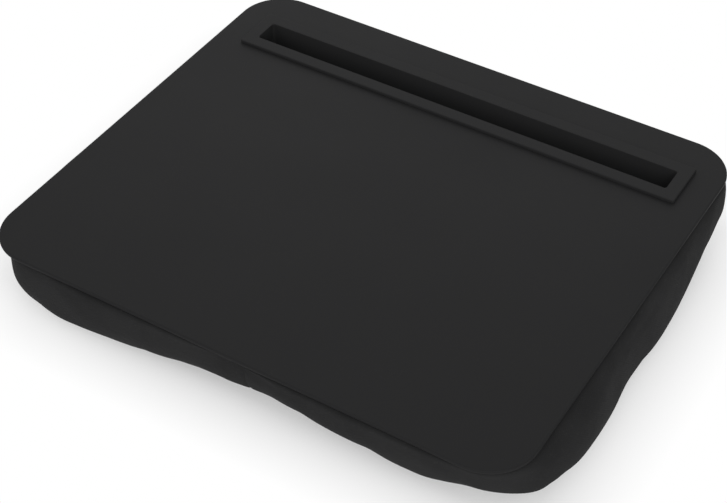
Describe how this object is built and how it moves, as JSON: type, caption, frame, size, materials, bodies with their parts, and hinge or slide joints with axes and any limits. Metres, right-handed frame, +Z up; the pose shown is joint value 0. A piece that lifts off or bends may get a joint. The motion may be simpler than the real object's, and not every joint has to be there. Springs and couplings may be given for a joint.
{
  "type": "tablet lap pillow",
  "caption": "Flat lap tray with rounded corners and a long flanged tablet slot near its back edge, carried on a soft bead-filled fabric cushion with a lobe for each leg.",
  "frame": {"origin": "on the surface that the cushion rests on, under the middle of the part's box", "axes": "+X to the user's right along the slot, +Y away from the user towards the slot side, +Z up out of the tray's top face"},
  "size_m": [0.405, 0.3326, 0.0645],
  "materials": {
    "tray_plastic": "fine matte moulded texture, satin on the rounded edge",
    "slot_plastic": "smooth matte moulded",
    "hardboard": "bare pressed fibre",
    "screw_steel": "zinc plated",
    "cover_fabric": "fine plain weave, matte, soft nap",
    "bead_liner": "thin non-woven liner"
  },
  "bodies": {
    "cushion": {"cover_band": "cover_fabric", "cover_bottom_left": "cover_fabric", "cover_bottom_right": "cover_fabric", "bead_bag_left": "bead_liner", "bead_bag_right": "bead_liner"},
    "tray": {"tray_top": "tray_plastic", "slot_insert": "slot_plastic", "base_board": "hardboard", "board_screw_1": "screw_steel", "board_screw_2": "screw_steel", "board_screw_3": "screw_steel", "board_screw_4": "screw_steel", "board_screw_5": "screw_steel", "board_screw_6": "screw_steel", "board_screw_7": "screw_steel", "board_screw_8": "screw_steel"}
  },
  "joints": [
    {"name": "cushion_squash", "type": "slide", "parent": "cushion", "child": "tray", "axis": [0, 0, 1], "range_m": [-0.012, 0], "stiffness_N_per_m": 3000, "springref_m": 0.004, "deforming": ["cover_band", "cover_bottom_left", "cover_bottom_right", "bead_bag_left", "bead_bag_right"]}
  ]
}
